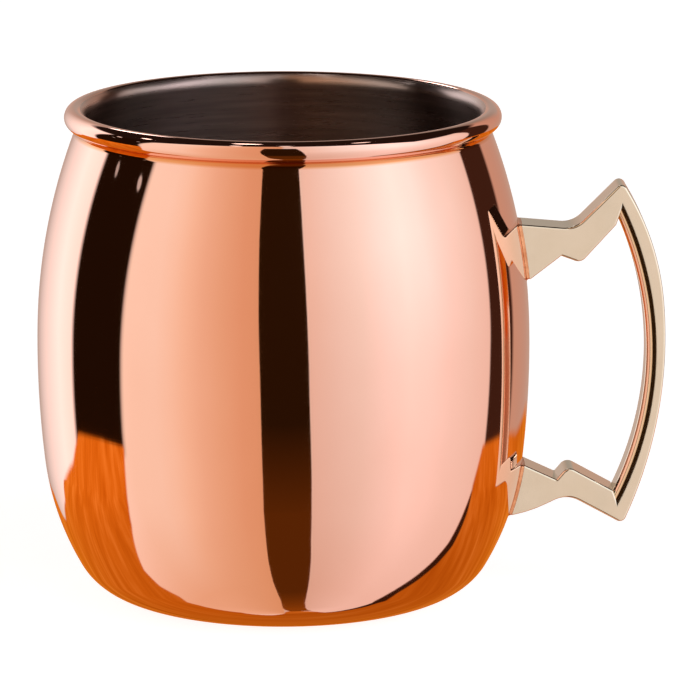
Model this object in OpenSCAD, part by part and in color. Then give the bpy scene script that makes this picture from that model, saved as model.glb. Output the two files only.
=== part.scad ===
// Barrel mug: a copper bowl with a rolled rim, a dark metal lining and a cast zigzag handle.
// Origin: centre of the flat base, on the mug's axis. +Z is up and the handle points towards +X.
// Slopes are degrees above the table, and handle points are given as reach from the axis and height.

/* [Body] */
// Overall height, table to the crest of the rim
mug_h = 95; // [92:0.5:97]
// Radius of the flat that the mug stands on
foot_r = 29.3; // [28:0.1:30.5]
// Radius of the rounding between the base and the side
corner_r = 12; // [10:0.5:14]
// Wall slope where that rounding ends
corner_end = 60.3; // [59:0.1:61.5]
// Curve of the lower side
side_r = 53; // [51:0.5:55]
// Wall slope where the lower side ends
side_end = 83.6; // [83:0.1:84.5]
// Curve of the belly
belly_r = 190; // [170:5:210]
// Wall slope where the belly ends
belly_end = 91.5; // [91:0.1:92]
// Curve of the shoulder, from the belly to the rim
shoulder_r = 113; // [110:1:118]

/* [Walls and rim] */
// Thickness of the copper
shell_t = 0.5; // [0.4:0.05:0.6]
// Thickness of the lining
lining_t = 0.5; // [0.4:0.05:0.6]
// Radius of the rolled rim's round section
roll_r = 2; // [1.7:0.1:2.3]
// How far the lining climbs round the inside of the roll, above the roll's middle
lip_h = 1.7; // [0.2:0.1:1.7]

/* [Grip] */
// Thickness of the whole casting, side to side
handle_t = 8; // [6:0.5:9]
// Reach of the grip from the mug's axis
grip_reach = 73.7; // [72.8:0.1:75]
// Height of the grip's furthest point
grip_mid_z = 49; // [48:0.1:50]
// Outside curve of the grip, upper part
grip_upper_r = 51; // [49:0.5:54]
// Outside curve of the grip, lower part
grip_lower_r = 86.7; // [84:0.1:90]
// Angle above the middle at which the two outside curves meet
grip_joint = 5.3; // [3:0.1:8]
// Curve of the finger side
grip_inner_r = 64.5; // [62:0.5:66]
// Height of the middle of the finger side's curve
grip_inner_z = 46.8; // [45.5:0.1:47]
// Width of the grip at mid height, at the middle of its thickness
grip_w = 3.7; // [3.4:0.1:4.4]
// Rounding of the grip's two finger-side edges
grip_round = 2.4; // [1.2:0.1:2.6]

/* [Upper arm] */
// Reach of the dip in the top edge
up_dip_x = 55.9; // [54:0.1:57]
// Height of the dip in the top edge
up_dip_z = 71.3; // [70.5:0.1:72]
// Slope of the top edge from the foot to the dip
up_top_slope = -4.9; // [-8:0.1:0]
// Slope of the top edge from the dip to the peak
up_rise_slope = 45; // [43:0.5:47]
// Reach of the notch in the bottom edge
up_notch_x = 53.4; // [52.5:0.1:54.5]
// Height of the notch in the bottom edge
up_notch_z = 66; // [65.6:0.1:67]
// Slope of the bottom edge from the foot to the notch
up_foot_slope = 37.8; // [34:0.1:41]
// Reach of the elbow in the bottom edge
up_elbow_x = 57.2; // [56.8:0.1:58]
// Height of the elbow in the bottom edge
up_elbow_z = 64.6; // [63.8:0.1:65]
// Reach of the corner between the arm and the grip
up_corner_x = 63.9; // [63.3:0.1:64.1]
// Height of the corner between the arm and the grip
up_corner_z = 72; // [71:0.1:72.3]

/* [Lower arm] */
// Reach of the notch in the top edge
low_notch_x = 52.8; // [52:0.1:53.3]
// Height of the notch in the top edge
low_notch_z = 21.8; // [21.3:0.1:22.3]
// Slope of the top edge from the foot to the notch
low_top_slope = -24.8; // [-28:0.1:-21]
// Reach of the elbow in the top edge
low_elbow_x = 55; // [54.4:0.1:56]
// Height of the elbow in the top edge
low_elbow_z = 24.4; // [23.8:0.1:25]
// Reach of the corner between the arm and the grip
low_corner_x = 63.9; // [63.3:0.1:64.1]
// Height of the corner between the arm and the grip
low_corner_z = 19.5; // [19.2:0.1:20.5]
// Reach of the bend in the foot's bottom edge
low_heel_x = 47.9; // [47:0.1:49]
// Height of the bend in the foot's bottom edge
low_heel_z = 15.5; // [15.2:0.1:16]
// Slope of the foot's bottom edge
low_heel_slope = 13; // [8:0.5:18]
// Reach of the dip in the bottom edge
low_dip_x = 54.9; // [54:0.1:56]
// Height of the dip in the bottom edge
low_dip_z = 18.8; // [18:0.1:19]
// Slope of the bottom edge from the dip to the tip
low_fall_slope = -28.6; // [-31:0.1:-27]

/* [Corner rounding] */
// At the dips in the top of the upper arm and the bottom of the lower arm
dip_round = 5; // [3:0.5:5.5]
// At the peak and the lower tip of the grip
tip_round = 1.2; // [0.6:0.1:1.3]
// At the two elbows
elbow_round = 1.8; // [1:0.1:2]
// At the notches and inner corners
notch_round = 0.3; // [0.2:0.1:0.4]
// At the bend in the lower foot's bottom edge
heel_round = 25; // [10:1:28]

/* [Brazing] */
// Thickness of the filler between each foot and the bowl
braze_t = 0.65; // [0.4:0.05:0.9]

/* [Hidden] */

$fn = 96;
wall_t = shell_t + lining_t;
slopes = [0, corner_end, side_end, belly_end];
radii = [corner_r, side_r, belly_r, shoulder_r];

// Direction out of the wall where its slope is s
function out_dir(s) = [sin(s), -cos(s)];

// Each curve's centre lies on the end line of the curve before it, so the wall runs on smoothly
c_corner = [foot_r, corner_r];
c_side = c_corner + (corner_r - side_r) * out_dir(corner_end);
c_belly = c_side + (side_r - belly_r) * out_dir(side_end);
c_shoulder = c_belly + (belly_r - shoulder_r) * out_dir(belly_end);
centres = [c_corner, c_side, c_belly, c_shoulder];

// The roll touches the lining's inner face, which sets how far its middle is from the shoulder's centre
roll_dist = shoulder_r - wall_t + roll_r;
neck_rise = asin((mug_h - roll_r - c_shoulder[1]) / roll_dist);
neck_slope = 90 + neck_rise;
c_roll = c_shoulder + roll_dist * out_dir(neck_slope);
ends = [corner_end, side_end, belly_end, neck_slope];
// How far the lines where one curve hands over to the next run to each side of the wall
cut_in = 4;
cut_out = 6;

// Grip curves
c_lower = [grip_reach - grip_lower_r, grip_mid_z];
c_upper = c_lower + (grip_lower_r - grip_upper_r) * dir(grip_joint);
c_inner = [grip_reach - grip_w - grip_inner_r, grip_inner_z];
face_r = grip_inner_r + grip_round;
// Thickness of the flat between the two rounded edges
grip_flat = handle_t - 2 * grip_round;

// The arms start inside the bowl, where the bowl's shape trims them
root_x = 40;
trim_depth = 8;
// Heights of the stretches of wall that the lower and the upper foot land on
lower_zone = [corner_r, grip_inner_z];
upper_zone = [grip_inner_z, mug_h - corner_r];
corner_run_slope = 71;
corner_run = 6;
arc_step = 2;

function dir(a) = [cos(a), sin(a)];
function unit(v) = v / norm(v);

// Point on hand-over line i, at distance d out from the copper's outer face
function wall_pt(i, d) =
    i == 0 ? [foot_r, -d] : centres[i - 1] + (radii[i - 1] + d) * out_dir(ends[i - 1]);

// Point at reach x on the line through p with slope s
function at_x(p, s, x) = [x, p[1] + (x - p[0]) * tan(s)];

// Where the line from p with slope s leaves the circle of radius r about c
function leaves(p, s, c, r) =
    let (w = p - c, b = w * dir(s))
    p + (sqrt(b * b - w * w + r * r) - b) * dir(s);

function angle_of(p, c) = atan2(p[1] - c[1], p[0] - c[0]);

// Points between two angles on a circle, both end points left out
function arc_inside(c, r, a0, a1) =
    let (n = max(2, ceil(abs(a1 - a0) / arc_step)))
    [for (i = [1 : n - 1]) c + r * dir(a0 + (a1 - a0) * i / n)];

// Corner p between its neighbours, rounded to radius r with straight edges left on both sides
function rounded(a, p, b, r) =
    let (
        u = unit(a - p),
        v = unit(b - p),
        half = acos(u * v) / 2,
        c = p + unit(u + v) * r / sin(half),
        mid = angle_of(p, c),
        turn = (u[0] * v[1] - u[1] * v[0] < 0 ? 1 : -1) * (90 - half),
        n = max(2, ceil((90 - half) / 8))
    )
    [for (i = [-n : n]) c + r * dir(mid + turn * i / n)];

// Outline through points given as [point, rounding]
function outline(pts) =
    let (n = len(pts))
    [for (i = [0 : n - 1])
        let (p = pts[i][0], r = pts[i][1], a = pts[(i + n - 1) % n][0], b = pts[(i + 1) % n][0])
        each (r > 0 ? rounded(a, p, b, r) : [p])];

up_dip = [up_dip_x, up_dip_z];
low_dip = [low_dip_x, low_dip_z];
low_heel = [low_heel_x, low_heel_z];
peak = leaves(up_dip, up_rise_slope, c_upper, grip_upper_r);
tip = leaves(low_dip, low_fall_slope, c_lower, grip_lower_r);
joint_pt = c_upper + grip_upper_r * dir(grip_joint);

// Outer edge, clockwise from the root of the upper arm
outer_edge = outline(concat(
    [[at_x(up_dip, up_top_slope, root_x), 0], [up_dip, dip_round], [peak, tip_round]],
    [for (p = arc_inside(c_upper, grip_upper_r, angle_of(peak, c_upper), grip_joint)) [p, 0]],
    [[joint_pt, 0]],
    [for (p = arc_inside(c_lower, grip_lower_r, grip_joint, angle_of(tip, c_lower))) [p, 0]],
    [[tip, tip_round], [low_dip, dip_round], [low_heel, heel_round],
        [at_x(low_heel, low_heel_slope, root_x), 0]]
));

up_notch = [up_notch_x, up_notch_z];
up_corner = [up_corner_x, up_corner_z];
low_notch = [low_notch_x, low_notch_z];
low_corner = [low_corner_x, low_corner_z];
up_run = up_corner + corner_run * dir(corner_run_slope);
low_run = low_corner + corner_run * dir(-corner_run_slope);
past_x = grip_reach + corner_run;

// Edge of the finger gap, running on past the grip, where the finger side's own curve ends it
gap_edge = outline([
    [at_x(up_notch, up_foot_slope, root_x), 0],
    [up_notch, notch_round],
    [[up_elbow_x, up_elbow_z], elbow_round],
    [up_corner, notch_round],
    [up_run, 0],
    [[past_x, up_run[1]], 0],
    [[past_x, low_run[1]], 0],
    [low_run, 0],
    [low_corner, notch_round],
    [[low_elbow_x, low_elbow_z], elbow_round],
    [low_notch, notch_round],
    [at_x(low_notch, low_top_slope, root_x), 0]
]);

// Ring about c between two radii, placed by whole millimetres and then the rest to keep long radii exact
module ring(c, r_out, r_in) {
    whole = [floor(c[0]), floor(c[1])];
    translate(whole)
        translate(c - whole)
            difference() {
                circle(r_out);
                circle(r_in);
            }
}

// Half section of the wall between two distances out from the copper's outer face. Its last stretch
// ends on the line to the roll's middle, on which the lining's lip starts.
module band(out_to, in_to) {
    translate([0, -out_to])
        square([foot_r, out_to - in_to]);
    for (i = [0 : 3])
        intersection() {
            ring(centres[i], radii[i] + out_to, radii[i] + in_to);
            polygon([
                wall_pt(i, -cut_in),
                wall_pt(i, cut_out),
                i == 3 ? c_roll : wall_pt(i + 1, cut_out),
                wall_pt(i + 1, -cut_in)
            ]);
        }
}

// The part of a half section between two heights, from the foot circle out to the grip
module zone(heights) {
    intersection() {
        translate([foot_r, heights[0]])
            square([grip_reach - foot_r, heights[1] - heights[0]]);
        children();
    }
}

// Half section of the wall under the two feet, each stretch on one curve with no hand-over line in it
module foot_band(out_to, in_to) {
    zone(lower_zone)
        ring(c_side, side_r + out_to, side_r + in_to);
    zone(upper_zone)
        ring(c_shoulder, shoulder_r + out_to, shoulder_r + in_to);
}

// Half section of the lining, up to its edge on the inside of the roll
module lining_section() {
    band(-shell_t, -wall_t);
    intersection() {
        ring(c_roll, roll_r, roll_r - lining_t);
        polygon([wall_pt(4, -cut_in), c_roll, c_roll + 2 * roll_r * dir(180 - asin(lip_h / roll_r))]);
    }
}

// Flat shape in the plane of the handle, given the handle's thickness
module plate(t) {
    rotate([90, 0, 0])
        linear_extrude(t, center = true)
            children();
}

// Everything on the finger side of the grip, which is flat in the middle with rounded edges
module finger_space() {
    translate([c_inner[0], 0, c_inner[1]])
        rotate([90, 0, 0])
            rotate_extrude()
                difference() {
                    translate([0, -handle_t])
                        square([face_r, 2 * handle_t]);
                    for (side = [-1, 1])
                        translate([face_r, side * grip_flat / 2])
                            circle(grip_round);
                    translate([grip_inner_r, -grip_flat / 2])
                        square([2 * grip_round, grip_flat]);
                }
}

// Filler where the arm's foot in one zone meets the bowl
module braze(heights) {
    intersection() {
        rotate_extrude()
            foot_band(braze_t, 0);
        plate(handle_t)
            zone(heights)
                difference() {
                    polygon(outer_edge);
                    polygon(gap_edge);
                }
    }
}

module outer_shell() {
    color("peru")
        rotate_extrude() {
            band(0, -shell_t);
            difference() {
                translate(c_roll)
                    circle(roll_r);
                lining_section();
            }
        }
}

module inner_lining() {
    color("dimgray")
        rotate_extrude()
            lining_section();
}

module handle() {
    color("khaki")
        difference() {
            plate(handle_t)
                polygon(outer_edge);
            intersection() {
                plate(2 * handle_t)
                    polygon(gap_edge);
                finger_space();
            }
            rotate_extrude()
                foot_band(braze_t, -trim_depth);
        }
}

module upper_braze() {
    color("chocolate")
        braze(upper_zone);
}

module lower_braze() {
    color("chocolate")
        braze(lower_zone);
}

outer_shell();
inner_lining();
handle();
upper_braze();
lower_braze();
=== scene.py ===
"""Copper mug with a cast brass handle, in metres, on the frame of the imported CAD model."""

import math

import bpy
import numpy as np
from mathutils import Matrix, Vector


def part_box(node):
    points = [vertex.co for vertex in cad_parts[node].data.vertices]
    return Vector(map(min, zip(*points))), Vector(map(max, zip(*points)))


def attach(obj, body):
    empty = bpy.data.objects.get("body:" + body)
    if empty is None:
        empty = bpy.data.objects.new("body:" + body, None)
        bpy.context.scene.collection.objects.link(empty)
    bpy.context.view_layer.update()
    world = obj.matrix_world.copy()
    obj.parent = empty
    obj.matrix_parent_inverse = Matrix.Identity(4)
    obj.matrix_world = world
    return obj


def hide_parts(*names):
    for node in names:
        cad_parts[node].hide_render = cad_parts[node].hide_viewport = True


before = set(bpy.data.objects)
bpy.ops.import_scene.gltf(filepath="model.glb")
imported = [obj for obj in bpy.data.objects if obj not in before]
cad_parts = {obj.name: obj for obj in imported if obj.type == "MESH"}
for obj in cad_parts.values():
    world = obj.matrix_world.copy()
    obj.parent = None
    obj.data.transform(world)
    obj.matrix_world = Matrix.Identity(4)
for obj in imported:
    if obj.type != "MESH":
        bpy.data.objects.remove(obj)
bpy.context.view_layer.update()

MM = 0.001

# ---------------------------------------------------------------- sizes, in mm, as in the CAD
SHELL_T, LINING_T = 0.5, 0.5
WALL_T = SHELL_T + LINING_T
FOOT_R = 29.3
RADII = [12.0, 53.0, 190.0, 113.0]
CORNER_END, SIDE_END, BELLY_END = 60.3, 83.6, 91.5
MUG_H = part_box("outer_shell")[1][2] / MM
ROLL_R, LIP_H = 2.0, 1.7

HANDLE_T = 8.0
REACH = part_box("handle")[1][0] / MM
MID_Z, UPPER_R, LOWER_R, JOINT_A = 49.0, 51.0, 86.7, 5.3
INNER_R, INNER_Z, GRIP_W = 64.5, 46.8, 3.7
BRAZE_T = 0.65
# corner radii of the handle's outline
DIP_R, PEAK_R, HEEL_R, NOTCH_R, ELBOW_R = 5.0, 1.2, 25.0, 0.3, 1.8

# ---------------------------------------------------------------- sizes, in mm, that the CAD hasn't got
# the soft inner corner under the roll, and the rounding of the edges of the handle's flat sides
NECK_R, EDGE_R = 1.0, 0.45
# the grip's finger-side rounding: a tight curve up to HAND_A, then a slack one up to the flat side,
# where the CAD has one radius
TIGHT_R, SLACK_R, HAND_A = 1.55, 5.4, 77.0
# the smallest radius left at a corner of an inset outline
LEAST_R = 0.05

# how finely the curves are sampled
SPIN_STEPS, ROLL_STEPS, LIP_STEPS, HIDDEN_STEPS, NECK_STEPS = 288, 56, 20, 14, 16
FINE = [5, 30, 20, 20, 40]
COARSE = [3, 12, 8, 8, 12]
BEND_STEPS, NOTCH_STEPS, UPPER_STEPS, LOWER_STEPS = 9, 6, 16, 26
FOOT_STEPS, FINGER_STEPS, FLAT_STEPS = 7, 44, 9
SLACK_ANGLES = (90, 87.5, 85, 82.5, 80)
TIGHT_ANGLES = (HAND_A, 74, 68, 62, 55, 48, 40, 32, 24, 16, 8)
# points of the handle closer than this, in mm, are one point
SAME = 1e-3


def rad(a):
    return math.radians(a)


def degrees_of(v):
    """Heading of a vector, from 0 to 360."""
    return math.degrees(math.atan2(v[1], v[0])) % 360


def vec(x, y):
    return np.array([float(x), float(y)])


def out_dir(s):
    """Direction out of the wall where its slope is s degrees."""
    return vec(math.sin(rad(s)), -math.cos(rad(s)))


def heading(a):
    return vec(math.cos(rad(a)), math.sin(rad(a)))


def unit(v):
    return v / np.linalg.norm(v)


def cross(a, b):
    return a[0] * b[1] - a[1] * b[0]


# ---------------------------------------------------------------- the wall's half section
CENTRES = [vec(FOOT_R, RADII[0])]
for k, s in enumerate([CORNER_END, SIDE_END, BELLY_END]):
    CENTRES.append(CENTRES[k] + (RADII[k] - RADII[k + 1]) * out_dir(s))
ROLL_DIST = RADII[3] - WALL_T + ROLL_R
NECK = 90 + math.degrees(math.asin((MUG_H - ROLL_R - CENTRES[3][1]) / ROLL_DIST))
C_ROLL = CENTRES[3] + ROLL_DIST * out_dir(NECK)
SLOPES = [0, CORNER_END, SIDE_END, BELLY_END, NECK]


def wall_line(d, steps, last):
    """Points and outward normals up the wall from the axis, d out from the copper's outer face."""
    line = [(vec(r, -d), vec(0, -1)) for r in np.linspace(0.0, FOOT_R, steps[0])]
    for i in range(4):
        end = last if i == 3 else SLOPES[i + 1]
        for s in np.linspace(SLOPES[i], end, steps[i + 1])[1:]:
            line.append((CENTRES[i] + (RADII[i] + d) * out_dir(s), out_dir(s)))
    return line


def roll_line(r, a0, a1, steps):
    """Points and normals round the roll, between two angles from straight out."""
    return [(C_ROLL + r * heading(a), heading(a)) for a in np.linspace(a0, a1, steps)]


def neck_corner():
    """The soft corner under the roll: the wall's slope at its start, its line, and its end on the roll."""
    r1, r2 = RADII[3] + NECK_R, ROLL_R + NECK_R
    c = (r1 * r1 - r2 * r2 + ROLL_DIST**2) / (2 * r1 * ROLL_DIST)
    slope = NECK - math.degrees(math.acos(c))
    mid = CENTRES[3] + r1 * out_dir(slope)
    a_wall, a_roll = degrees_of(-out_dir(slope)), degrees_of(C_ROLL - mid)
    line = [(mid + NECK_R * heading(a), -heading(a)) for a in np.linspace(a_wall, a_roll, NECK_STEPS)]
    return slope, line, a_roll - 180


def wall_reach(i, z, d):
    """Radius of curve i of the wall at height z, d out from the copper's outer face."""
    return CENTRES[i][0] + math.sqrt((RADII[i] + d) ** 2 - (z - CENTRES[i][1]) ** 2)


# ---------------------------------------------------------------- meshes with exact normals
def make(name, verts, faces, normals, mat, slot, *nodes):
    """Makes a piece from mm and a normal for each corner of each face, to stand for CAD nodes."""
    mesh = bpy.data.meshes.new(name)
    mesh.from_pydata([tuple(c * MM for c in v) for v in verts], [], faces)
    mesh.polygons.foreach_set("use_smooth", [True] * len(mesh.polygons))
    mesh.normals_split_custom_set([tuple(n) for n in normals])
    mesh.materials.append(mat)
    obj = bpy.data.objects.new(name, mesh)
    bpy.context.scene.collection.objects.link(obj)
    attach(obj, "root")
    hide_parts(*nodes)


def revolve(line, count):
    """Vertices, faces and corner normals of a closed half section turned round the axis.

    line holds (point, normal before, normal after), and starts and ends on the axis.
    """
    verts, faces, normals = [], [], []
    angles = [2 * math.pi * k / count for k in range(count)]
    rows = []
    for p, _, _ in line:
        if abs(p[0]) < 1e-9:
            rows.append([len(verts)] * count)
            verts.append((0.0, 0.0, p[1]))
        else:
            rows.append(list(range(len(verts), len(verts) + count)))
            verts.extend((p[0] * math.cos(a), p[0] * math.sin(a), p[1]) for a in angles)
    for i in range(len(line) - 1):
        low, high = line[i][2], line[i + 1][1]
        for k in range(count):
            m = (k + 1) % count
            corners = [
                (rows[i][k], low, k),
                (rows[i][m], low, m),
                (rows[i + 1][m], high, m),
                (rows[i + 1][k], high, k),
            ]
            face, seen = [], set()
            for v, n, at in corners:
                if v in seen:
                    continue
                seen.add(v)
                face.append(v)
                normals.append((n[0] * math.cos(angles[at]), n[0] * math.sin(angles[at]), n[1]))
            faces.append(face)
    return verts, faces, normals


def chain(*parts):
    """Joins lines of (point, normal) into one section, with a crease where two of them meet."""
    out = []
    for part in parts:
        part = [(p, n, n) for p, n in part]
        if out and np.linalg.norm(out[-1][0] - part[0][0]) < 1e-6:
            out[-1] = (out[-1][0], out[-1][1], part[0][2])
            part = part[1:]
        out.extend(part)
    return out


def backwards(line):
    return [(p, -n) for p, n in reversed(line)]


LIP_A = 180 - math.degrees(math.asin(LIP_H / ROLL_R))
TOUCH_A = NECK - 90 + 180
HIDDEN_R = ROLL_R - LINING_T


def shell_section():
    """From the axis up the outside and over the roll to the lip, then down behind the lining."""
    slope, neck, a0 = neck_corner()
    outer = wall_line(0, FINE, slope)[:-1] + neck[:-1] + roll_line(ROLL_R, a0, LIP_A, ROLL_STEPS)
    across = heading(LIP_A + 90)
    lip = [(C_ROLL + r * heading(LIP_A), across) for r in (ROLL_R, HIDDEN_R)]
    inner_roll = roll_line(HIDDEN_R, LIP_A, TOUCH_A, HIDDEN_STEPS)
    return chain(outer, lip, inner_roll, backwards(wall_line(-SHELL_T, COARSE, NECK)))


def lining_section():
    """From the axis up the back to the lip, then down the inner face."""
    back_roll = backwards(roll_line(HIDDEN_R, LIP_A, TOUCH_A, HIDDEN_STEPS))
    across = heading(LIP_A - 90)
    lip = [(C_ROLL + r * heading(LIP_A), across) for r in (HIDDEN_R, ROLL_R)]
    roll = list(reversed(roll_line(ROLL_R, TOUCH_A, LIP_A, LIP_STEPS)))
    face = backwards(wall_line(-WALL_T, FINE, NECK))
    return chain(wall_line(-SHELL_T, COARSE, NECK), back_roll, lip, roll, face)


# ---------------------------------------------------------------- the handle's outline
C_LOWER = vec(REACH - LOWER_R, MID_Z)
C_UPPER = C_LOWER + (LOWER_R - UPPER_R) * heading(JOINT_A)
C_INNER = vec(REACH - GRIP_W - INNER_R, INNER_Z)

UP_DIP, LOW_HEEL, LOW_DIP = vec(55.9, 71.3), vec(47.9, 15.5), vec(54.9, 18.8)
UP_NOTCH, UP_ELBOW, UP_CORNER = vec(53.4, 66), vec(57.2, 64.6), vec(63.9, 72)
LOW_NOTCH, LOW_ELBOW, LOW_CORNER = vec(52.8, 21.8), vec(55, 24.4), vec(63.9, 19.5)
UP_TOP_A, UP_RISE_A, UP_FOOT_A = -4.9, 45, 37.8
LOW_TOP_A, LOW_HEEL_A, LOW_FALL_A = -24.8, 13, -28.6
RUN_A = 71
# the curves of the wall that the feet stand on
UPPER_CURVE, LOWER_CURVE = 3, 1
# how far the outer arcs keep clear of the rounded corners at their ends, in degrees
PEAK_GAP_A, TIP_GAP_A = 2.2, 1.4


def leaves(p, a, c, r):
    """Where the line from p at angle a leaves the circle of radius r about c."""
    w = p - c
    b = float(np.dot(w, heading(a)))
    return p + (math.sqrt(b * b - float(np.dot(w, w)) + r * r) - b) * heading(a)


def angle_of(p, c):
    """Heading from c to p, from -180 to 180."""
    return math.degrees(math.atan2(p[1] - c[1], p[0] - c[0]))


def meet(p, u, q, v):
    """Where the lines p + s u and q + t v meet."""
    return p + u * (cross(q - p, v) / cross(u, v))


# root() starts from this reach and closes in on the wall round by round
NEAR_X, ROOT_ROUNDS = 46.0, 40


def root(p, a, curve, y, d):
    """Where the line through p at angle a reaches the bowl's side, at distance y from the middle plane."""
    x = NEAR_X
    for _ in range(ROOT_ROUNDS):
        z = p[1] + (x - p[0]) * math.tan(rad(a))
        x = math.sqrt(wall_reach(curve, z, d) ** 2 - y * y)
    return vec(x, z)


def corner(p, u, v, r, inset, metal, count):
    """Samples round corner p between headings u and v. metal is 1 where it lies to the left."""
    left = cross(u, v) > 0
    convex = left == (metal > 0)
    half = (math.pi - math.acos(max(-1.0, min(1.0, float(np.dot(u, v)))))) / 2
    r = max(r - inset, LEAST_R) if convex else r + inset
    side = vec(-u[1], u[0]) * (1 if left else -1)
    c = p - u * (r / math.tan(half)) + side * r
    n0 = -side
    turn = (math.pi - 2 * half) * (1 if left else -1)
    out = []
    for k in range(count):
        a = turn * k / (count - 1)
        n = vec(n0[0] * math.cos(a) - n0[1] * math.sin(a), n0[0] * math.sin(a) + n0[1] * math.cos(a))
        out.append((c + r * n, n if convex else -n))
    return out


def arc(c, r, a0, a1, count):
    """Samples between two angles on a circle, both ends left out."""
    angles = [a0 + (a1 - a0) * k / count for k in range(1, count)]
    return [(c + r * heading(a), heading(a)) for a in angles]


def outer_edge(y, d):
    """Outer edge of the handle at one level, inset by d, from the upper foot round to the lower one."""
    up = UP_DIP - d * vec(0, 1) / math.cos(rad(UP_TOP_A))
    top, rise = heading(UP_TOP_A), heading(UP_RISE_A)
    rise_p = UP_DIP + d * vec(rise[1], -rise[0])
    dip = meet(up, top, rise_p, rise)
    peak = leaves(dip, UP_RISE_A, C_UPPER, UPPER_R - d)
    low = heading(LOW_FALL_A)
    fall_p = LOW_DIP + d * vec(-low[1], low[0])
    heel_dir = heading(LOW_HEEL_A)
    heel_p = LOW_HEEL + d * vec(-heel_dir[1], heel_dir[0])
    mid = unit(LOW_DIP - LOW_HEEL)
    mid_p = LOW_HEEL + d * vec(-mid[1], mid[0])
    low_dip = meet(mid_p, mid, fall_p, low)
    heel = meet(mid_p, mid, heel_p, heel_dir)
    tip = leaves(low_dip, LOW_FALL_A, C_LOWER, LOWER_R - d)
    start = root(dip, UP_TOP_A, UPPER_CURVE, y, BRAZE_T)
    end = root(heel, LOW_HEEL_A, LOWER_CURVE, y, BRAZE_T)
    peak_a, tip_a = angle_of(peak, C_UPPER), angle_of(tip, C_LOWER)

    def along(a):
        return vec(math.sin(rad(a)), -math.cos(rad(a)))

    out = [(start, vec(-top[1], top[0]))]
    out += corner(dip, top, rise, DIP_R, d, -1, BEND_STEPS)
    out += corner(peak, rise, along(peak_a), PEAK_R, d, -1, BEND_STEPS)
    out += arc(C_UPPER, UPPER_R - d, peak_a - PEAK_GAP_A, JOINT_A, UPPER_STEPS)
    out += [(C_UPPER + (UPPER_R - d) * heading(JOINT_A), heading(JOINT_A))]
    out += arc(C_LOWER, LOWER_R - d, JOINT_A, tip_a + TIP_GAP_A, LOWER_STEPS)
    out += corner(tip, along(tip_a), -low, PEAK_R, d, -1, BEND_STEPS)
    out += corner(low_dip, -low, -mid, DIP_R, d, -1, BEND_STEPS)
    out += corner(heel, -mid, -heel_dir, HEEL_R, d, -1, BEND_STEPS)
    out += [(end, vec(heel_dir[1], -heel_dir[0]))]
    return out


def gap_edge(y, d, finger_r):
    """Edge of the finger gap at one level: along the lower arm, up the grip and back to the upper foot."""
    foot, run = heading(UP_FOOT_A), heading(RUN_A)
    low_top, low_run = heading(LOW_TOP_A), heading(-RUN_A)

    def shifted(p, u, metal_left):
        return p + d * vec(-u[1], u[0]) * (1 if metal_left else -1)

    # headings outwards from the feet: the upper arm's metal is to the left, the lower arm's to the right
    a1, a2 = unit(UP_ELBOW - UP_NOTCH), unit(UP_CORNER - UP_ELBOW)
    l0, l1 = shifted(UP_NOTCH, foot, True), shifted(UP_NOTCH, a1, True)
    l2, l3 = shifted(UP_ELBOW, a2, True), shifted(UP_CORNER, run, True)
    notch, elbow, cor = meet(l0, foot, l1, a1), meet(l1, a1, l2, a2), meet(l2, a2, l3, run)
    b1, b2 = unit(LOW_ELBOW - LOW_NOTCH), unit(LOW_CORNER - LOW_ELBOW)
    m0, m1 = shifted(LOW_NOTCH, low_top, False), shifted(LOW_NOTCH, b1, False)
    m2, m3 = shifted(LOW_ELBOW, b2, False), shifted(LOW_CORNER, low_run, False)
    low_notch, low_elbow = meet(m0, low_top, m1, b1), meet(m1, b1, m2, b2)
    low_cor = meet(m2, b2, m3, low_run)

    top_x, low_x = leaves(cor, RUN_A, C_INNER, finger_r), leaves(low_cor, -RUN_A, C_INNER, finger_r)
    upper = [(root(notch, UP_FOOT_A, UPPER_CURVE, y, BRAZE_T), vec(foot[1], -foot[0]))]
    upper += corner(notch, foot, a1, NOTCH_R, d, 1, NOTCH_STEPS)
    upper += corner(elbow, a1, a2, ELBOW_R, d, 1, BEND_STEPS)
    upper += corner(cor, a2, run, NOTCH_R, d, 1, NOTCH_STEPS)
    upper += [(top_x, vec(run[1], -run[0]))]
    a_top, a_low = angle_of(top_x, C_INNER), angle_of(low_x, C_INNER)
    angles = np.linspace(a_top, a_low, FINGER_STEPS)
    finger = [(C_INNER + finger_r * heading(a), -heading(a)) for a in angles]
    lower = [(root(low_notch, LOW_TOP_A, LOWER_CURVE, y, BRAZE_T), vec(-low_top[1], low_top[0]))]
    lower += corner(low_notch, low_top, b1, NOTCH_R, d, -1, NOTCH_STEPS)
    lower += corner(low_elbow, b1, b2, ELBOW_R, d, -1, BEND_STEPS)
    lower += corner(low_cor, b2, low_run, NOTCH_R, d, -1, NOTCH_STEPS)
    lower += [(low_x, vec(-low_run[1], low_run[0]))]
    return lower, list(reversed(finger)), list(reversed(upper))


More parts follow.
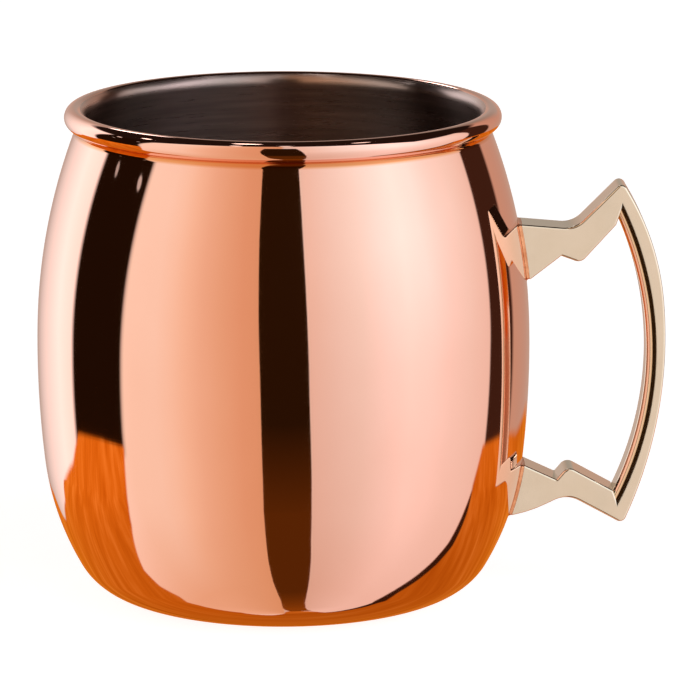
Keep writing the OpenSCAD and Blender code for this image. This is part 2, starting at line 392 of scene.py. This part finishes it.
def levels():
    """Section levels from the near face to the far one.

    A plain edge has (y, inset, tilt), and the grip has (y, radius, tilt).
    """
    half = HANDLE_T / 2
    hand = rad(HAND_A)
    flat = half - TIGHT_R * math.sin(hand) - SLACK_R * (1 - math.sin(hand))
    depth = TIGHT_R * (1 - math.cos(hand)) + SLACK_R * math.cos(hand)
    side = []
    for t in SLACK_ANGLES:
        out = half - SLACK_R * (1 - math.sin(rad(t)))
        side.append((out, INNER_R + depth - SLACK_R * math.cos(rad(t)), t))
    for t in TIGHT_ANGLES:
        side.append((flat + TIGHT_R * math.sin(rad(t)), INNER_R + TIGHT_R * (1 - math.cos(rad(t))), t))
    finger = [(-y, r, -t) for y, r, t in side]
    finger += [(y, INNER_R, 0.0) for y in np.linspace(-flat, flat, FLAT_STEPS)]
    finger += list(reversed(side))
    plain = []
    for y, _, _ in finger:
        over = min(1.0, max(0.0, abs(y) - (half - EDGE_R)) / EDGE_R)
        tilt = math.copysign(math.degrees(math.asin(over)), y)
        plain.append((y, EDGE_R * (1 - math.sqrt(1 - over * over)), tilt))
    return plain, finger


def foot_line(curve, start, end, y):
    """Back of a foot, just off the copper, between two points of the outline."""
    line = []
    for z in np.linspace(start[1], end[1], FOOT_STEPS):
        line.append((vec(math.sqrt(wall_reach(curve, z, BRAZE_T) ** 2 - y * y), z), vec(-1, 0)))
    return line


def add_samples(samples, line, y, tilt):
    """Adds a line of (point, normal) to a level, each with its normal before and after."""
    c, s = math.cos(rad(tilt)), math.sin(rad(tilt))
    for p, n in line:
        point, normal = (p[0], y, p[1]), (n[0] * c, s, n[1] * c)
        if samples and math.dist(samples[-1][0], point) < SAME:
            samples[-1][2] = normal
        else:
            samples.append([point, normal, normal])


def tube_faces(rows, count):
    """Faces of a stack of rings with the same count of points, and its two end faces."""
    faces = []
    for j in range(rows - 1):
        for i in range(count):
            k = (i + 1) % count
            faces.append([j * count + i, j * count + k, (j + 1) * count + k, (j + 1) * count + i])
    faces.append(list(reversed(range(count))))
    faces.append([(rows - 1) * count + i for i in range(count)])
    return faces


def handle_mesh():
    plain, finger = levels()
    rows = []
    for (y, inset, tilt), (finger_y, finger_r, finger_tilt) in zip(plain, finger):
        outer = outer_edge(y, inset)
        lower, grip, upper = gap_edge(y, inset, finger_r)
        samples = []
        add_samples(samples, outer, y, tilt)
        add_samples(samples, foot_line(LOWER_CURVE, outer[-1][0], lower[0][0], y), y, 0)
        add_samples(samples, lower, y, tilt)
        add_samples(samples, grip, finger_y, finger_tilt)
        add_samples(samples, upper, y, tilt)
        add_samples(samples, foot_line(UPPER_CURVE, upper[-1][0], outer[0][0], y)[:-1], y, 0)
        samples[0][1] = (-1.0, 0.0, 0.0)
        rows.append(samples)
    n = len(rows[0])
    assert all(len(r) == n for r in rows), [len(r) for r in rows]
    verts = [s[0] for r in rows for s in r]
    faces = tube_faces(len(rows), n)
    normals = []
    for f in faces[:-2]:
        j, i = divmod(f[0], n)
        k = (i + 1) % n
        corners = [rows[j][i][2], rows[j][k][1], rows[j + 1][k][1], rows[j + 1][i][2]]
        a, b, c, d = (np.array(verts[v]) for v in f)
        flat = np.cross(c - a, d - b)
        # a narrow step where the grip springs from the lower arm takes its own flat normal
        if np.dot(flat, np.sum(corners, axis=0)) < 0:
            corners = [tuple(unit(flat))] * 4
        normals += corners
    normals += [(0, -1, 0)] * n + [(0, 1, 0)] * n
    return verts, faces, normals


# the filler's section: how far out from the copper, and how far past the foot's edge
BRAZE_STAGES = (
    (-0.04, 0.42),
    (0.02, 0.36),
    (0.06, 0.24),
    (0.14, 0.13),
    (0.28, 0.05),
    (0.45, 0.01),
    (0.66, -0.03),
    (0.68, -0.2),
)
ROUND_STEPS, SIDE_STEPS = 6, 6
# the corners of the oblong, by the signs of y and z
OBLONG = ((1, 1), (-1, 1), (-1, -1), (1, -1))


def braze_mesh(curve, z_low, z_high):
    """Filler round a foot: a rounded oblong on the bowl's side, flared where it meets the copper."""
    mid_z, half_z = (z_low + z_high) / 2, (z_high - z_low) / 2
    verts = []
    for out, past in BRAZE_STAGES:
        r = EDGE_R + max(past, 0)
        half_y = HANDLE_T / 2 + past - r

        def at(quarter, a):
            side_y, side_z = OBLONG[quarter % 4]
            y = side_y * half_y + r * math.cos(rad(a))
            return vec(y, mid_z + side_z * (half_z + past - r) + r * math.sin(rad(a)))

        ring = []
        for q in range(4):
            ring += [at(q, 90 * q + 90 * k / ROUND_STEPS) for k in range(ROUND_STEPS + 1)]
            last, following = ring[-1], at(q + 1, 90 * q + 90)
            ring += [last + (following - last) * k / SIDE_STEPS for k in range(1, SIDE_STEPS)]
        verts += [(math.sqrt(wall_reach(curve, z, out) ** 2 - y * y), y, z) for y, z in ring]
    return verts, tube_faces(len(BRAZE_STAGES), len(ring))


def smooth_normals(verts, faces):
    """Area-weighted vertex normals, flat on the two end faces."""
    v = np.array(verts)
    sums = np.zeros_like(v)
    flat = []
    for f in faces:
        p = v[f]
        n = sum(np.cross(p[k], p[(k + 1) % len(f)]) for k in range(len(f)))
        flat.append(unit(n))
        if len(f) == 4:
            for k in f:
                sums[k] += n
    out = []
    for f, n in zip(faces, flat):
        out += [unit(sums[k]) if len(f) == 4 else n for k in f]
    return out


# ---------------------------------------------------------------- material helpers
class Tree:
    """Short calls for building a node tree."""

    def __init__(self, owner):
        owner.use_nodes = True
        self.t = owner.node_tree
        self.t.nodes.clear()

    def node(self, kind, inputs=None, **props):
        n = self.t.nodes.new(kind)
        for key, value in props.items():
            setattr(n, key, value)
        for key, value in (inputs or {}).items():
            socket = n.inputs[key]
            if isinstance(value, bpy.types.NodeSocket):
                self.t.links.new(value, socket)
            else:
                socket.default_value = value
        return n

    def math(self, op, a, b=0.0):
        return self.node("ShaderNodeMath", {0: a, 1: b}, operation=op).outputs[0]

    def vector(self, op, a, b=(0, 0, 0), output=0):
        return self.node("ShaderNodeVectorMath", {0: a, 1: b}, operation=op).outputs[output]

    def step(self, value, start, end):
        """0 at start and 1 at end, with a straight slope between and level beyond."""
        return self.node("ShaderNodeMapRange", {0: value, 1: start, 2: end}).outputs[0]

    def ramp(self, fac, stops):
        """A colour ramp through (place, colour or grey value) stops."""
        n = self.node("ShaderNodeValToRGB", {"Fac": fac})
        e = n.color_ramp.elements
        while len(e) < len(stops):
            e.new(0.5)
        for k, (at, col) in enumerate(sorted(stops, key=lambda s: s[0])):
            e[k].position = at
            col = (col, col, col) if isinstance(col, (int, float)) else col
            e[k].color = (*col, 1.0)
        return n.outputs[0]

    def mix(self, fac, a, b, blend="MIX"):
        n = self.node("ShaderNodeMix", data_type="RGBA", blend_type=blend)
        for key, value in ((0, fac), (6, a), (7, b)):
            if isinstance(value, bpy.types.NodeSocket):
                self.t.links.new(value, n.inputs[key])
            else:
                n.inputs[key].default_value = value if key == 0 else (*value, 1.0)
        return n.outputs[2]

    def noise(self, place, scale, detail, rough, distortion=0.0):
        inputs = {"Vector": place, "Scale": scale, "Detail": detail, "Roughness": rough}
        inputs["Distortion"] = distortion
        return self.node("ShaderNodeTexNoise", inputs).outputs["Fac"]

    def scaled(self, place, scale):
        return self.node("ShaderNodeMapping", {"Vector": place, "Scale": scale}).outputs[0]

    def bump(self, height, distance, normal=None):
        inputs = {"Height": height, "Distance": distance, "Strength": 1.0}
        if normal is not None:
            inputs["Normal"] = normal
        return self.node("ShaderNodeBump", inputs).outputs[0]

    def join(self, value, socket):
        self.t.links.new(value, socket)

    def show(self, shader, kind="ShaderNodeOutputMaterial"):
        """Makes a shader node the tree's result."""
        self.join(shader.outputs[0], self.node(kind).inputs["Surface"])


def metal(name):
    """A new metallic material, its tree, its object coordinates and its shader's inputs."""
    mat = bpy.data.materials.new(name)
    t = Tree(mat)
    obj = t.node("ShaderNodeTexCoord").outputs["Object"]
    bsdf = t.node("ShaderNodeBsdfPrincipled", {"Metallic": 1.0})
    t.show(bsdf)
    return mat, t, obj, bsdf.inputs


def two_tones(t, cloud, stops, light, dark):
    """A colour that drifts from light to dark where the cloud passes between two values."""
    return t.mix(t.ramp(cloud, [(stops[0], 0.0), (stops[1], 1.0)]), light, dark)


def roughness(t, least, *parts):
    """A least roughness and the share of each (pattern, weight) on top of it."""
    total = None
    for pattern, weight in parts:
        part = t.math("MULTIPLY", pattern, weight)
        total = part if total is None else t.math("ADD", total, part)
    return t.math("ADD", total, least)


# the painted shade and reflection line in the crease fades out between these distances from the corner
# under the roll, in metres
CREASE_SHADE_FULL, CREASE_SHADE_END = 0.0004, 0.0009


def copper_material():
    """Mirror-polished copper: a faint waviness, fine spin lines, and a painted darker, redder line under
    the roll for the shade and the table's reflection in the crease.
    """
    mat, t, obj, shader = metal("polished_copper")
    cloud = t.noise(t.scaled(obj, (1, 1, 0.6)), 38, 3, 0.55)
    polished = two_tones(t, cloud, (0.35, 0.7), (0.95, 0.565, 0.445), (0.925, 0.53, 0.405))
    corner_r, corner_z = np.mean([p for p, _ in neck_corner()[1]], axis=0) * MM
    height = t.node("ShaderNodeSeparateXYZ", {"Vector": obj}).outputs["Z"]
    radius = t.vector("LENGTH", t.vector("MULTIPLY", obj, (1, 1, 0)), output="Value")
    across = t.math("POWER", t.math("SUBTRACT", radius, corner_r), 2.0)
    along = t.math("POWER", t.math("SUBTRACT", height, corner_z), 2.0)
    # painted shade and reflection: the copper turns darker and redder in the crease under the roll
    crease_shade = t.step(t.math("SQRT", t.math("ADD", across, along)), CREASE_SHADE_END, CREASE_SHADE_FULL)
    t.join(t.mix(crease_shade, polished, (0.80, 0.33, 0.13)), shader["Base Color"])
    rings = t.noise(t.scaled(obj, (0.02, 0.02, 1)), 5200, 2, 0.6)
    wear = t.noise(obj, 120, 4, 0.6)
    t.join(roughness(t, 0.012, (rings, 0.022), (wear, 0.03)), shader["Roughness"])
    wave = t.bump(t.noise(t.scaled(obj, (1, 1, 0.5)), 30, 1.5, 0.4), 0.00002)
    t.join(t.bump(rings, 0.0000004, wave), shader["Normal"])
    return mat


def lining_material():
    """Dark metal brushed in rings, so that its highlights spread up and down the wall."""
    mat, t, obj, shader = metal("dark_lining")
    rings = t.noise(t.scaled(obj, (0.03, 0.03, 1)), 2600, 3, 0.65)
    coarse = t.noise(t.scaled(obj, (0.05, 0.05, 1)), 600, 3, 0.6)
    cloud = t.noise(obj, 60, 3, 0.55)
    base = two_tones(t, cloud, (0.3, 0.75), (0.62, 0.475, 0.425), (0.54, 0.40, 0.35))
    scratched = t.mix(t.ramp(coarse, [(0.36, 0.55), (0.64, 0.0)]), base, (0.31, 0.225, 0.19))
    t.join(scratched, shader["Base Color"])
    t.join(roughness(t, 0.21, (rings, 0.12), (cloud, 0.04)), shader["Roughness"])
    t.join(t.bump(coarse, 0.000012, t.bump(rings, 0.000004)), shader["Normal"])
    ring = t.vector("CROSS_PRODUCT", (0, 0, 1), obj)
    up = t.vector("CROSS_PRODUCT", ring, t.node("ShaderNodeNewGeometry").outputs["Normal"])
    t.join(t.vector("NORMALIZE", up), shader["Tangent"])
    shader["Anisotropic"].default_value = 0.95
    return mat


# how far the polish rounds the grip's flat sides, and over what width, in metres, and how its faces lean
CROWN_H, CROWN_W, LEAN = 0.00014, 0.0042, -0.022


def brass_material():
    """Pale cast brass, polished all over, its flat sides a little crowned by the buffing wheel."""
    mat, t, obj, shader = metal("cast_brass")
    cloud = t.noise(obj, 160, 4, 0.6)
    tone = two_tones(t, cloud, (0.3, 0.75), (0.875, 0.76, 0.59), (0.845, 0.725, 0.55))
    t.join(tone, shader["Base Color"])
    lines = t.noise(t.scaled(obj, (1, 1, 0.1)), 2600, 2, 0.6)
    t.join(roughness(t, 0.055, (cloud, 0.05), (lines, 0.04)), shader["Roughness"])
    off = t.vector("SUBTRACT", obj, (C_INNER[0] * MM, 0, C_INNER[1] * MM))
    reach = t.vector("LENGTH", t.vector("MULTIPLY", off, (1, 0, 1)), output="Value")
    aside = t.math("DIVIDE", t.math("SUBTRACT", reach, (INNER_R + GRIP_W / 2) * MM), CROWN_W)
    crown = t.math("EXPONENT", t.math("MULTIPLY", t.math("MULTIPLY", aside, aside), -1.0))
    lean = t.math("MULTIPLY", t.node("ShaderNodeSeparateXYZ", {"Vector": obj}).outputs["X"], LEAN)
    rounded = t.bump(t.math("ADD", t.math("MULTIPLY", crown, CROWN_H), lean), 1.0)
    dents = t.bump(t.noise(obj, 220, 2, 0.5), 0.000012, rounded)
    t.join(t.bump(lines, 0.0000004, dents), shader["Normal"])
    return mat


def braze_material():
    """Copper-coloured filler, rippled where it froze."""
    mat, t, obj, shader = metal("braze_filler")
    cloud = t.noise(obj, 700, 4, 0.6)
    t.join(two_tones(t, cloud, (0.3, 0.75), (0.86, 0.40, 0.20), (0.60, 0.22, 0.09)), shader["Base Color"])
    t.join(roughness(t, 0.12, (cloud, 0.2)), shader["Roughness"])
    t.join(t.bump(t.noise(obj, 900, 2, 0.5), 0.00003), shader["Normal"])
    return mat


# ---------------------------------------------------------------- the pieces
COPPER, LINING, BRASS, FILLER = copper_material(), lining_material(), brass_material(), braze_material()

make("copper_shell", *revolve(shell_section(), SPIN_STEPS), COPPER, "polished_copper", "outer_shell")
make("dark_liner", *revolve(lining_section(), SPIN_STEPS), LINING, "dark_lining", "inner_lining")
make("brass_handle", *handle_mesh(), BRASS, "cast_brass", "handle")

edge, (lower_edge, _, upper_edge) = outer_edge(0, 0), gap_edge(0, 0, INNER_R)
for name, curve, (low_end, high_end) in (
    ("upper_braze", UPPER_CURVE, (upper_edge[-1], edge[0])),
    ("lower_braze", LOWER_CURVE, (edge[-1], lower_edge[0])),
):
    v, f = braze_mesh(curve, low_end[0][1], high_end[0][1])
    make(name + "_seam", v, f, smooth_normals(v, f), FILLER, "braze_filler", name)


# ---------------------------------------------------------------- stage
def sheet(name, points, mat):
    """A flat stage piece through points in mm."""
    mesh = bpy.data.meshes.new(name)
    mesh.from_pydata([tuple(c * MM for c in p) for p in points], [], [list(range(len(points)))])
    mesh.materials.append(mat)
    obj = bpy.data.objects.new(name, mesh)
    bpy.context.scene.collection.objects.link(obj)
    return obj


def mirrored_only(obj):
    """Shows a stage piece in reflections and nowhere else."""
    obj.visible_camera = obj.visible_diffuse = obj.visible_shadow = False
    obj.visible_transmission = obj.visible_volume_scatter = False


def gap_material():
    """The dark between two panels of the tent, brown low down where the table's edge lights it."""
    mat = bpy.data.materials.new("stage_gap_dark")
    t = Tree(mat)
    obj = t.node("ShaderNodeTexCoord").outputs["Object"]
    height = t.node("ShaderNodeSeparateXYZ", {"Vector": obj}).outputs["Z"]
    dark = t.mix(t.step(height, -0.13, -0.04), (0.1, 0.03, 0.003), (0.022, 0.009, 0.002))
    colour = t.mix(t.step(height, -1.15, -0.65), (0.25, 0.072, 0.005), dark)
    t.show(t.node("ShaderNodeEmission", {"Color": colour, "Strength": 1.0}))
    return mat


# the gap's two sides as (height, x) in mm, on a plane in front of the mug
GAP_Y = -340
GAP_LEFT = [(420, -71), (171, -72), (70, -69), (-19, -64), (-94, -61), (-153, -60)]
GAP_LEFT += [(-335, -59), (-500, -52), (-830, -24), (-1590, 3), (-2600, 80)]
GAP_RIGHT = [(-2600, 400), (-1940, 256), (-930, 124), (-500, 99), (-335, 87)]
GAP_RIGHT += [(-230, 77), (-94, 69), (-19, 61), (171, 50), (420, 40)]
gap_points = [(x, GAP_Y, z) for z, x in GAP_LEFT + GAP_RIGHT]
mirrored_only(sheet("stage_gap", gap_points, gap_material()))


def floor_material():
    """A plain pale floor with a glow of its own, so that it stays white right up to the mug."""
    mat = bpy.data.materials.new("stage_floor")
    t = Tree(mat)
    matt = t.node("ShaderNodeBsdfDiffuse", {"Color": (0.45, 0.45, 0.45, 1)})
    glow = t.node("ShaderNodeEmission", {"Color": (1, 1, 1, 1), "Strength": 0.87})
    t.show(t.node("ShaderNodeAddShader", {0: matt.outputs[0], 1: glow.outputs[0]}))
    return mat


FLOOR_HALF, FLOOR_Z = 3000, -0.5
floor_points = [(x * FLOOR_HALF, y * FLOOR_HALF, FLOOR_Z) for x, y in ((-1, -1), (1, -1), (1, 1), (-1, 1))]
floor = sheet("stage_floor", floor_points, floor_material())
floor.visible_glossy = False

# ---------------------------------------------------------------- what the metal reflects
# Azimuths are in degrees, 0 on the camera's side and growing to the right. Elevations are in degrees.

# the tent's walls round the azimuth, level with the mug and far below it
WALL_LEVEL = [
    (-180, (0.56, 0.37, 0.29)),
    (-166, (0.57, 0.46, 0.41)),
    (-150, (1.0, 0.97, 0.97)),
    (-130, (1.5, 1.5, 1.6)),
    (-117, (1.35, 1.35, 1.42)),
    (-98, (1.2, 1.18, 1.18)),
    (-77.5, (1.08, 1.02, 0.95)),
    (-62, (1.06, 1.0, 0.93)),
    (-54, (1.04, 0.92, 0.81)),
    (-47, (1.0, 0.81, 0.66)),
    (-39, (0.93, 0.69, 0.53)),
    (-30, (0.87, 0.60, 0.42)),
    (-20, (0.82, 0.51, 0.33)),
    (-2, (0.76, 0.46, 0.27)),
    (0, (0.86, 0.84, 0.83)),
    (12.2, (0.95, 0.87, 0.84)),
    (24, (1.0, 1.02, 1.05)),
    (36, (1.06, 1.16, 1.22)),
    (48, (1.25, 1.32, 1.44)),
    (60, (1.45, 1.46, 1.6)),
    (72, (1.36, 1.38, 1.52)),
    (84, (1.15, 1.18, 1.26)),
    (96, (1.03, 1.05, 1.08)),
    (109.5, (0.96, 0.88, 0.86)),
    (134, (0.64, 0.42, 0.33)),
    (155, (0.57, 0.35, 0.27)),
    (180, (0.56, 0.37, 0.29)),
]
WALL_LOW = [
    (-180, (0.5, 0.42, 0.36)),
    (-140, (0.95, 0.85, 0.8)),
    (-100, (0.9, 0.64, 0.47)),
    (-64, (0.87, 0.60, 0.42)),
    (-24, (0.80, 0.52, 0.33)),
    (-2, (0.78, 0.48, 0.28)),
    (0, (0.74, 0.60, 0.54)),
    (24, (0.79, 0.65, 0.59)),
    (64, (0.93, 0.81, 0.79)),
    (110, (0.93, 0.8, 0.78)),
    (134, (0.6, 0.42, 0.32)),
    (180, (0.5, 0.42, 0.36)),
]
# how much of the second list shows, by elevation, to the left and to the right of azimuth 0
LEFT_FALL = [(-62, 1.0), (-45, 0.58), (-30, 0.24), (-20, 0.1), (10, 0.0)]
RIGHT_FALL = [(-62, 1.0), (-45, 0.85), (-30, 0.68), (-20, 0.6), (-10, 0.42), (12, 0.0)]

# the share of a lamp's width that is fully bright, and its tint
LAMP_CORE, LAMP_BLUE = 0.7, 1.03
# small ceiling lamps: azimuth, elevation, half width in degrees, brightness
LAMPS = [
    (-169, 32, 4.0, 5.0),
    (-103, 26, 2.0, 1.4),
    (-104, 47, 2.6, 5.0),
    (-150, 75, 3.5, 6.0),
    (3, 77, 2.6, 2.0),
    (-48, 68, 2.5, 2.5),
    (108, 69, 3.0, 2.5),
    (-102, 14.6, 1.2, 0.5),
    (-84, 17.5, 1.4, 0.6),
]

# the table's near edges to the left and right as (elevation, azimuth), and the width of the dark seam
# beside the right one as (elevation, azimuth, width)
TABLE_LEFT = [(-85, -150), (-78, -102), (-64, -93.5), (-57, -94), (-51, -100), (-45, -100.5)]
TABLE_LEFT += [(-38, -93.5), (-32, -88), (-26, -85), (-17, -82)]
TABLE_RIGHT = [(-90, 0, 0), (-84, 5, 0), (-82.3, 20, 0), (-80.5, 80, 0), (-79, 100, 0), (-76, 102, 4)]
TABLE_RIGHT += [(-68, 92, 9), (-61.5, 86, 8), (-54.5, 91.6, 5), (-48, 97, 5), (-42, 101, 5)]
TABLE_RIGHT += [(-36, 103.7, 5), (-27, 103.9, 3), (-21, 104.7, 0), (-17, 110, 0)]
# its far edge as (azimuth, elevation)
TABLE_FAR = [(-180, -13), (-163, -17), (-157, -20.5), (-154, -21.3), (-143, -21), (-137, -18.5)]
TABLE_FAR += [(-123, -18.3), (-115, -16.6), (-98, -17.4), (-82, -18.4)]
TABLE_FAR += [(110, -17.6), (126, -16.4), (145, -15.4), (160, -13.8), (180, -13)]
# half the width, in turns, over which an edge of the table blurs
TABLE_BLUR = 0.6 / 360


def as_turn(azimuth):
    return azimuth / 360 + 0.5


def as_height(elevation):
    return elevation / 180 + 0.5


class Sky(Tree):
    """A world's tree with the direction looked at, as an azimuth and an elevation from 0 to 1."""

    def __init__(self, world):
        super().__init__(world)
        self.to = self.node("ShaderNodeTexCoord").outputs["Generated"]
        sep = self.node("ShaderNodeSeparateXYZ", {"Vector": self.to})
        self.x, self.y, self.z = sep.outputs["X"], sep.outputs["Y"], sep.outputs["Z"]
        self.near = self.math("MULTIPLY", self.y, -1.0)
        turn = self.math("ARCTAN2", self.x, self.near)
        self.azimuth = self.math("ADD", self.math("MULTIPLY", turn, 1 / (2 * math.pi)), 0.5)
        rise = self.math("ARCSINE", self.z)
        self.elevation = self.math("ADD", self.math("MULTIPLY", rise, 1 / math.pi), 0.5)

    def round_ramp(self, stops):
        return self.ramp(self.azimuth, [(as_turn(a), c) for a, c in stops])

    def height_ramp(self, stops):
        return self.ramp(self.elevation, [(as_height(e), c) for e, c in stops])

    def upright_gap(self, lean, stops):
        """1 between azimuths that shift by lean degrees, given over the elevation."""
        shift = self.height_ramp([(e, a / 360) for e, a in lean])
        return self.ramp(self.math("SUBTRACT", self.azimuth, shift), [(as_turn(a), c) for a, c in stops])

    def beyond(self, line, sign):
        """1 past an edge given as (elevation, azimuth), to the right for sign 1 and to the left for -1."""
        at = self.height_ramp([(e, as_turn(a)) for e, a in line])
        off = self.math("MULTIPLY", self.math("SUBTRACT", self.azimuth, at), sign)
        return self.step(off, -TABLE_BLUR, TABLE_BLUR)


def walls(t):
    """The tent's walls, greyer behind and above the mug."""
    right_half = t.ramp(t.azimuth, [(0.499, 0.0), (0.501, 1.0)])
    fall = t.mix(right_half, t.height_ramp(LEFT_FALL), t.height_ramp(RIGHT_FALL))
    tent = t.mix(fall, t.round_ramp(WALL_LEVEL), t.round_ramp(WALL_LOW))
    far_side = t.round_ramp([(-180, 1.0), (-166, 0.0), (150, 0.0), (166, 1.0)])
    behind = t.math("MULTIPLY", far_side, t.height_ramp([(4, 0.0), (9, 1.0)]))
    grey = t.mix(t.height_ramp([(10, 0.0), (36, 1.0)]), (0.43, 0.385, 0.345), (0.2, 0.17, 0.145))
    return t.mix(behind, tent, grey)


def side_gaps(t, tent):
    """Tall dark gaps to the left and right, leaning a little."""
    left_stops = [(-120.3, 0.0), (-118.8, 1.0), (-85.2, 1.0), (-84.0, 0.0)]
    right_stops = [(107.0, 0.0), (108.0, 1.0), (129.5, 1.0), (132.0, 0.0)]
    left = t.upright_gap([(-17, 2.3), (23, 6.8)], left_stops)
    right = t.upright_gap([(-17, 3.0), (12, 5.5)], right_stops)
    above_table = t.height_ramp([(-19.3, 0.0), (-18.9, 1.0)])
    tent = t.mix(t.math("MULTIPLY", left, above_table), tent, (0.014, 0.006, 0.002))
    return t.mix(t.math("MULTIPLY", right, above_table), tent, (0.05, 0.02, 0.012))


def ceiling(t, tent):
    """Dark above the walls, with small lamps.

    The walls reach about 71 degrees up on the camera's side, and about 30 at the sides and behind.
    """
    reach = t.math("MAXIMUM", t.near, t.math("MULTIPLY", t.math("SUBTRACT", 1.0, t.z), 0.36))
    above = t.math("SUBTRACT", t.math("MULTIPLY", t.z, 0.35), reach)
    tent = t.mix(t.step(above, -0.03, 0.01), tent, (0.016, 0.009, 0.007))
    for azimuth, elevation, size, power in LAMPS:
        a, e = rad(azimuth), rad(elevation)
        towards = (math.sin(a) * math.cos(e), -math.cos(a) * math.cos(e), math.sin(e))
        closeness = t.vector("DOT_PRODUCT", t.to, towards, "Value")
        lamp = t.step(closeness, math.cos(rad(size)), math.cos(rad(size * LAMP_CORE)))
        tent = t.mix(lamp, tent, (power, power, power * LAMP_BLUE))
    return tent


def wood(t):
    """Oiled wood with its grain from left to right."""
    down = t.math("MAXIMUM", t.math("MULTIPLY", t.z, -1.0), 0.05)
    place = {"X": t.math("DIVIDE", t.x, down), "Y": t.math("DIVIDE", t.y, down), "Z": 0.0}
    plane = t.node("ShaderNodeCombineXYZ", place).outputs[0]
    streak = t.noise(t.scaled(plane, (0.16, 1.0, 1)), 5.0, 3, 0.55, 0.25)
    fine = t.noise(t.scaled(plane, (0.08, 1.0, 1)), 24, 2, 0.5)
    both = t.math("ADD", t.math("MULTIPLY", streak, 0.75), t.math("MULTIPLY", fine, 0.25))
    tones = [(0.34, (0.56, 0.135, 0.004)), (0.5, (0.68, 0.19, 0.01)), (0.66, (0.82, 0.28, 0.035))]
    by_height = t.height_ramp([(-85, 0.8), (-60, 0.86), (-40, 0.95), (-30, 1.05), (-18, 1.25)])
    by_turn = t.round_ramp([(-180, 0.84), (-120, 1.0), (60, 0.95), (110, 0.84), (180, 0.84)])
    return t.mix(1.0, t.ramp(both, tones), t.math("MULTIPLY", by_height, by_turn), "MULTIPLY")


def table(t, tent):
    """A wooden table at the walls' feet, with a dark seam along its right edge."""
    far = t.round_ramp([(a, as_height(e)) for a, e in TABLE_FAR])
    under = t.step(t.math("SUBTRACT", far, t.elevation), -0.2 / 180, 0.3 / 180)
    right_line = [(e, a) for e, a, _ in TABLE_RIGHT]
    right = t.beyond(right_line, 1.0)
    past = t.math("MAXIMUM", t.beyond(TABLE_LEFT, -1.0), right)
    tent = t.mix(t.math("MULTIPLY", past, under), tent, wood(t))
    past_seam = t.beyond([(e, a + w) for e, a, w in TABLE_RIGHT], 1.0)
    seam = t.math("MULTIPLY", t.math("SUBTRACT", right, past_seam), under)
    return t.mix(seam, tent, (0.04, 0.014, 0.006))


def build_world():
    """White to the camera, and to everything else a photographer's tent on a wooden table."""
    world = bpy.data.worlds.new("studio")
    bpy.context.scene.world = world
    t = Sky(world)
    tent = table(t, ceiling(t, side_gaps(t, walls(t))))
    shown = t.mix(t.node("ShaderNodeLightPath").outputs["Is Camera Ray"], tent, (1.0, 1.0, 1.0))
    background = t.node("ShaderNodeBackground", {"Color": shown, "Strength": 1.0})
    t.show(background, "ShaderNodeOutputWorld")
    world.cycles.sampling_method = "MANUAL"
    world.cycles.sample_map_resolution = 1024


build_world()

# ---------------------------------------------------------------- camera
# angles in degrees, and places in metres
TURN, YAW, PITCH = 0.78, 0.736, 12.355
AWAY, HEIGHT = 1.0, 0.266
camera = bpy.data.cameras.new("camera")
camera.lens, camera.sensor_width = 272.1, 36.0
camera.clip_start, camera.clip_end = 0.05, 20.0
view = bpy.data.objects.new("camera", camera)
bpy.context.scene.collection.objects.link(view)
view.location = (-AWAY * math.sin(rad(TURN)), -AWAY * math.cos(rad(TURN)), HEIGHT)
view.rotation_euler = (rad(90 - PITCH), 0.0, -rad(TURN + YAW))
bpy.context.scene.camera = view
bpy.context.scene.view_settings.view_transform = "Standard"
bpy.context.scene.view_settings.look = "None"
